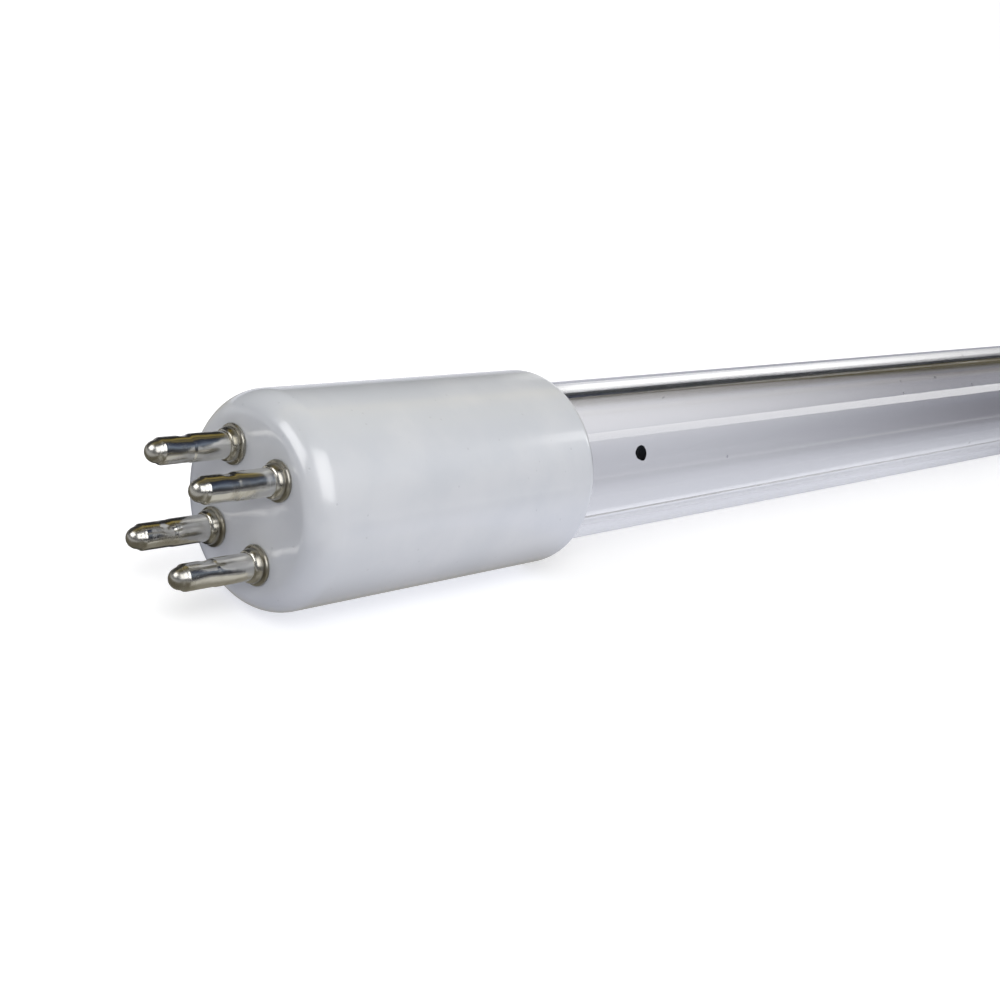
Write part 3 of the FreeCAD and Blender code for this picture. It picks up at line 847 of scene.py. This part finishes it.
def table_through_glass(tree, along, across):
    """Painted light and shade on the table, seen through the glass: grey behind the tube with a painted
    falloff towards the far end and away from the lamp, painted shade under the base, paler in front of it,
    and a dark strip that draws the tube's dark line.
    """
    # Painted light falloff: the greys darken towards the far end and away from the lamp
    end = along.ramp(*TUBE_ALONG)
    behind = tree.blend(end, tone(0.605, 0.615, 0.665), tone(0.27, 0.27, 0.305))
    further = tree.blend(end, tone(0.86, 0.86, 0.88), tone(0.39, 0.385, 0.41))
    lifted = tree.blend(across.ramp(*BEHIND_ACROSS), behind, further)
    faded = tree.blend(across.ramp(*FADE_ACROSS) * FADE_SHARE, lifted, tone(0.06, 0.06, 0.07))
    # Painted shade under the base: darker near the mouth, paler beyond it
    front = tree.blend(along.ramp(*MOUTH_ALONG), tone(0.34, 0.34, 0.38), tone(0.84, 0.86, 0.93))
    near = tree.blend(across.ramp(*LAMP_ACROSS), front, faded)
    # A dark strip on the table behind the tube, seen only through the glass
    dark_strip_tone = tree.blend(along.ramp(*DARK_STRIP_ALONG), tone(0.006, 0.014, 0.05), tone(0.008, 0.013, 0.009))
    beyond = across.ramp(*STRIP_END)
    reach = across + along.ramp(*STRIP_ALONG) * STRIP_SHIFT
    strip = reach.ramp(*STRIP_START) * (1 - beyond)
    return tree.blend(beyond, tree.blend(strip, near, dark_strip_tone), tone(1.15, 1.15, 1.17))


def table_in_mirrors(tree, along, across):
    """What shiny surfaces see of the table: pale in front of the lamp with a painted falloff along it,
    painted shade under the base, a painted shadow close behind it, and brown to bright beyond the pins.
    """
    edge = across + along.ramp(*EDGE_ALONG) * EDGE_SHIFT
    # Painted shadow of the lamp on the table, close behind it
    shade = edge.ramp(*SHADE_START) * (1 - across.ramp(*SHADE_END))
    # Painted light falloff along the lamp
    pale = tree.blend(along.ramp(*PALE_ALONG), tone(0.71, 0.725, 0.79), tone(0.44, 0.45, 0.5))
    open_side = tree.blend(across.ramp(*OPEN_ACROSS), tone(0.12, 0.12, 0.125), pale)
    # Painted shade under the base, darker towards the far side
    underside = tree.blend(across.ramp(*UNDERSIDE_ACROSS), tone(0.6, 0.585, 0.53), tone(0.3, 0.285, 0.24))
    beside = tree.blend(along.ramp(*MOUTH_ALONG), underside, open_side)
    within = tree.blend(shade, beside, tone(0.02, 0.02, 0.022))
    left = tree.blend(along.ramp(*NOSES_ALONG), tone(0.6, 0.6, 0.59), tone(0.16, 0.145, 0.105))
    return tree.blend(along.ramp(*FACE_ALONG), left, within)


def build_floor():
    """A table that is white to the camera and keeps the lamp's shadow.

    Clear and shiny surfaces see it in painted greys of light and shade, and matt ones by a glow that stands
    in for bounce light, dimmer near the base and lavender beyond it.
    """
    material, tree = new_tree("pale_table")
    place = tree.position()
    along = tree.part(place, "X")
    across = tree.part(place, "Y")
    seen = tree.add("ShaderNodeLightPath", output="Is Camera Ray")
    matt = tree.add("ShaderNodeLightPath", output="Is Diffuse Ray")
    mirrored = tree.add("ShaderNodeLightPath", output="Glossy Depth").at_most(1.0)
    direct = table_through_glass(tree, along, across)
    clear = tree.blend(mirrored, direct, table_in_mirrors(tree, along, across))
    # Painted bounce light: the glow that matt surfaces see, dimmer near the base
    bounce = tree.blend(along.ramp(*BOUNCE_ALONG), tone(0.44, 0.45, 0.52), tone(0.72, 0.74, 0.87))
    toned = tree.blend(matt, clear, bounce)
    glow = tree.add("ShaderNodeEmission", inputs={"Color": toned, "Strength": 1.0})
    shadowed = tree.add("ShaderNodeBsdfDiffuse", inputs={"Color": tone(TABLE_WHITE)})
    white = tree.add("ShaderNodeEmission", inputs={"Color": tone(1.0), "Strength": TABLE_GLOW})
    shown = tree.add("ShaderNodeAddShader", inputs={0: shadowed, 1: white})
    tree.finish(tree.add("ShaderNodeMixShader", inputs={0: seen, 1: glow, 2: shown}))
    flat_card("table", [(x * TABLE_HALF, y * TABLE_HALF, BASE_LOW.z) for x, y in SQUARE], material)


# The room that metal and glaze mirror, by its turn round the lamp as a share of half a turn
ROOM_IN_METAL = [
    (0.0, (0.03, 0.03, 0.03)),
    (0.2, (0.01, 0.01, 0.012)),
    (0.25, (0.02, 0.018, 0.01)),
    (0.29, (0.36, 0.28, 0.08)),
    (0.36, (0.2, 0.16, 0.06)),
    (0.4, (0.03, 0.028, 0.02)),
    (0.44, (0.22, 0.18, 0.07)),
    (0.5, (0.012, 0.014, 0.02)),
    (0.64, (0.03, 0.045, 0.09)),
    (0.74, (0.17, 0.21, 0.28)),
    (0.82, (0.06, 0.07, 0.09)),
    (0.88, (0.02, 0.02, 0.025)),
    (0.96, (0.03, 0.03, 0.035)),
    (1.0, (0.6, 0.6, 0.58)),
]

# Where the room changes, by the part of a direction that points along the lamp
STUDIO_ALONG = (-0.8, 0.3)
ROOM_ALONG = (-0.72, -0.5)
BAND_START = (0.72, 0.76)
BAND_RISE = (0.82, 0.88)
BAND_FADE = (0.83, 0.93)

# Where it changes by the part that points to the far side, and by the turn round the lamp
STUDIO_ACROSS = (0.1, 0.9)
BAND_TURN = (0.115, 0.155)
RISE_TURN = 0.026
FADE_DROP = 0.5


def light_world():
    """White to the camera, an even studio to matt surfaces and a banded room to shiny ones.

    A bright band low behind the lamp, on its far end's side, makes the pale line along the tube's top.
    """
    world = bpy.data.worlds.new("studio")
    bpy.context.scene.world = world
    tree = Tree(world)
    direction = tree.add("ShaderNodeTexCoord", output="Generated")
    x = tree.part(direction, "X")
    y = tree.part(direction, "Y")
    z = tree.part(direction, "Z")
    turn = z.math("ARCTAN2", y) / math.pi
    shiny = tree.add("ShaderNodeLightPath", output="Is Glossy Ray")
    camera = tree.add("ShaderNodeLightPath", output="Is Camera Ray")
    through = tree.add("ShaderNodeLightPath", output="Is Transmission Ray")
    metal = tree.add("ShaderNodeValToRGB", {"stops": ROOM_IN_METAL}, {0: turn})
    height = turn - x.ramp(*BAND_RISE) * RISE_TURN
    low = 1 - height.ramp(*BAND_TURN)
    band = low * x.ramp(*BAND_START) * (1 - x.ramp(*BAND_FADE) * FADE_DROP)
    studio = tree.blend(x.ramp(*STUDIO_ALONG), tone(0.08, 0.08, 0.09), tone(0.92, 0.92, 0.925))
    even = tree.blend(y.ramp(*STUDIO_ACROSS), studio, tone(1.25))
    room = tree.blend(x.ramp(*ROOM_ALONG), tone(0.16, 0.16, 0.165), metal)
    lit = tree.blend(shiny, even, tree.blend(band, room, tone(1.25)))
    seen = tree.blend(through, lit, tree.blend(band, tone(0.06, 0.06, 0.065), tone(1.25)))
    colour = tree.blend(camera, seen, tone(1.0))
    tree.finish(tree.add("ShaderNodeBackground", inputs={"Color": colour}), "ShaderNodeOutputWorld")


def add_key_light(direction, distance, size, radiance):
    """A soft light that shapes the lamp from the camera's side and makes no mirror image."""
    away = Vector(direction).normalized()
    light = bpy.data.lights.new("key_light", "AREA")
    light.shape = "SQUARE"
    light.size = size
    light.energy = radiance * math.pi * size * size
    holder = bpy.data.objects.new("key_light", light)
    holder.location = away * distance
    holder.rotation_mode = "QUATERNION"
    holder.rotation_quaternion = (-away).to_track_quat("-Z", "Y")
    holder.visible_glossy = False
    holder.visible_transmission = False
    bpy.context.scene.collection.objects.link(holder)


def add_card(name, corners, glow_of):
    """A glowing card that is seen only as a mirror image in what shines."""
    material, tree = new_tree(f"{name}_glow")
    tree.finish(tree.add("ShaderNodeEmission", inputs={"Color": glow_of(tree), "Strength": 1.0}))
    card = flat_card(name, corners, material)
    for ray in ("camera", "diffuse", "transmission", "shadow"):
        setattr(card, f"visible_{ray}", False)


def add_facing_card(name, direction, distance, size, strength):
    """A card that faces the base from a direction."""
    away = Vector(direction).normalized()
    aside = away.cross(Vector((0, 0, 1))).normalized() * size[0] / 2
    upward = aside.cross(away).normalized() * size[1] / 2
    middle = away * distance
    corners = [middle + aside * x + upward * y for x, y in SQUARE]
    add_card(name, corners, lambda tree: tone(strength))


def add_strip_card():
    """A long card above the lamp, which shines along the outside of the tube as one line."""
    corners = []
    for x, spread in STRIP_CORNERS:
        angle = math.radians(STRIP_ANGLE + spread)
        corners.append((x, STRIP_DISTANCE * math.cos(angle), STRIP_DISTANCE * math.sin(angle)))
    add_card("strip_card", corners, lambda tree: tree.blend(
        tree.part(tree.position(), "X").ramp(0.5, 0.75), tone(2.4), tone(3.7)))


def light_scene():
    """The room, the cards that shine in the glaze and the glass, and the one light."""
    light_world()
    add_strip_card()
    add_facing_card("left_card", (-0.74, 0.2, 0.6), distance=0.5, size=(0.34, 0.3), strength=3.6)
    add_facing_card("front_card", (-0.15, -0.62, 0.76), distance=0.5, size=(0.34, 0.44), strength=2.8)
    add_key_light((-0.45, -0.5, 0.74), distance=0.6, size=0.3, radiance=5.4)


def place_camera():
    """The camera that the photo's outlines were fitted with."""
    camera = bpy.data.cameras.new("camera")
    camera.sensor_fit = "HORIZONTAL"
    camera.sensor_width = SENSOR_WIDTH
    camera.lens = CAMERA_LENS
    camera.clip_start = 0.005
    camera.clip_end = 50.0
    holder = bpy.data.objects.new("camera", camera)
    up = CAMERA_RIGHT.cross(CAMERA_FORWARD).normalized()
    turn = Matrix((CAMERA_RIGHT, up, -CAMERA_FORWARD)).transposed()
    holder.matrix_world = Matrix.Translation(CAMERA_PLACE) @ turn.to_4x4()
    bpy.context.scene.collection.objects.link(holder)
    bpy.context.scene.camera = holder


def build_lamp():
    """Make the finishes, then every piece of the lamp."""
    ceramic = make_ceramic()
    nickel = make_nickel()
    drawn = make_wire("drawn_nickel", tone(0.62, 0.61, 0.58), tone(0.3, 0.28, 0.25), 0.25)
    materials = {
        "nickel": drawn,
        "molybdenum": make_wire("drawn_molybdenum", tone(0.5, 0.5, 0.52), tone(0.25, 0.24, 0.28), 0.35),
        "foil": make_wire("rolled_foil", tone(0.62, 0.62, 0.66), tone(0.4, 0.38, 0.42), 0.18),
    }
    filament = make_filament()
    cement = make_cement()
    build_ceramic_base(ceramic)
    build_end_cap(ceramic)
    for number, place in enumerate(pin_places(), start=1):
        build_pin(number, place, nickel)
    build_tube(make_quartz())
    build_return_wires(drawn)
    for end, start_x, way in (
        ("base", TUBE_LOW.x + PRESS_LENGTH + COIL_PLACE, 1),
        ("end", TUBE_HIGH.x - PRESS_LENGTH - COIL_PLACE, -1),
    ):
        points = coiled_coil(start_x, way)
        thread(f"{end}_filament", points, FINE_WIRE, filament, f"{end}_cathode")
    build_cement("base_cement_ring", "base_cement", BASE_LENGTH, 1, cement)
    build_cement("end_cement_ring", "end_cement", LAMP_LENGTH - CAP_LENGTH, -1, cement)
    build_pellet(make_amalgam())
    dress_nodes(materials)


build_lamp()
build_floor()
light_scene()
place_camera()
bpy.context.scene.view_settings.view_transform = "Standard"
